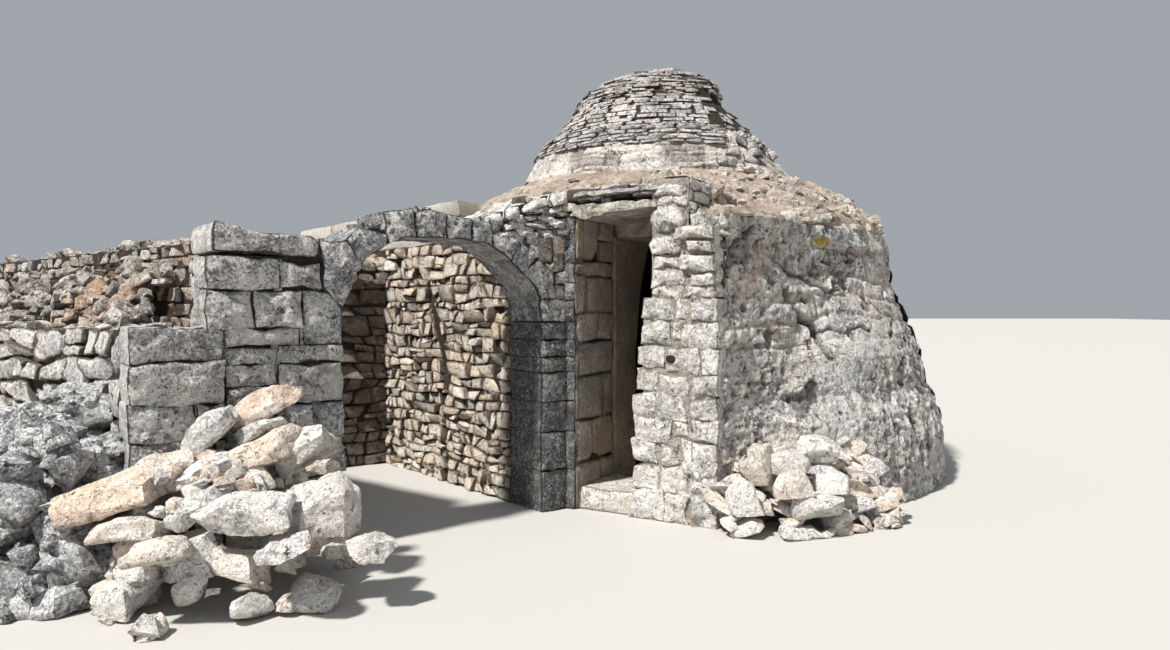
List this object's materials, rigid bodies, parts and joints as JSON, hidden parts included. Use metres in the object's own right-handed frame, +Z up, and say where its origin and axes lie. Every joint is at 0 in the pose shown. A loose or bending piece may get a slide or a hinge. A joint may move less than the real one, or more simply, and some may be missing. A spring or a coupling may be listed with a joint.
{
  "type": "ruined dry-stone trullo house with an arched annex",
  "caption": "Half-ruined round dry-stone trullo with a corbelled stepped cone, a skewed doorway and a roofless annex entered through a low stone arch.",
  "frame": {"origin": "on the ground, at the middle of the footprint box of the whole building", "axes": "+X runs to the right along the front as a visitor faces it, +Y away from the visitor, +Z up"},
  "size_m": [9.746, 7.8599, 4.13],
  "materials": {
    "arch_blocks": "matt",
    "cone_render": "matt",
    "door_blocks": "matt",
    "dry_rubble": "matt",
    "fallen_stone": "matt",
    "parapet_stone": "matt",
    "pier_blocks": "matt",
    "rendered_rubble": "matt",
    "roof_rubble": "matt",
    "roof_slabs": "matt"
  },
  "bodies": {
    "root": {"annex_back_wall": "dry_rubble", "annex_right_wall": "dry_rubble", "arch_leg_right": "arch_blocks", "arch_springer_left": "arch_blocks", "arch_springer_right": "arch_blocks", "arch_voussoir_1": "arch_blocks", "arch_voussoir_2": "arch_blocks", "arch_voussoir_3": "arch_blocks", "arch_voussoir_4": "arch_blocks", "arch_voussoir_5": "arch_blocks", "arch_voussoir_6": "arch_blocks", "arch_voussoir_7": "arch_blocks", "arch_voussoir_8": "arch_blocks", "cone_crown": "roof_slabs", "cone_lower_back": "cone_render", "cone_lower_broken": "cone_render", "cone_lower_front": "cone_render", "cone_upper_back": "roof_slabs", "cone_upper_broken": "roof_slabs", "cone_upper_front": "roof_slabs", "door_jamb_left": "door_blocks", "door_ledge": "door_blocks", "door_lintel_inner": "door_blocks", "door_lintel_outer": "door_blocks", "door_pier_base": "door_blocks", "door_pier_cap": "door_blocks", "door_pier_shaft": "door_blocks", "door_threshold": "door_blocks", "drum_wall_annex_side": "rendered_rubble", "drum_wall_back_left": "rendered_rubble", "drum_wall_back_right": "rendered_rubble", "drum_wall_beside_door": "rendered_rubble", "drum_wall_front_left": "rendered_rubble", "drum_wall_front_right": "rendered_rubble", "drum_wall_right": "rendered_rubble", "fallen_boulders_left": "fallen_stone", "fallen_rubble_drum": "fallen_stone", "fallen_rubble_pier": "fallen_stone", "left_pier_base": "pier_blocks", "left_pier_cap": "pier_blocks", "left_pier_shaft": "pier_blocks", "left_quoin_wall": "pier_blocks", "left_wall_inner_leaf": "dry_rubble", "left_wall_outer_leaf": "dry_rubble", "left_wall_rubble_core": "dry_rubble", "parapet_coping": "parapet_stone", "parapet_wall": "parapet_stone", "rear_wall": "dry_rubble", "roof_shoulder_back": "roof_rubble", "roof_shoulder_front": "roof_rubble", "roof_shoulder_left": "roof_rubble", "roof_shoulder_right": "roof_rubble", "spandrel_wall": "dry_rubble", "wall_over_door": "roof_rubble"}
  },
  "joints": []
}
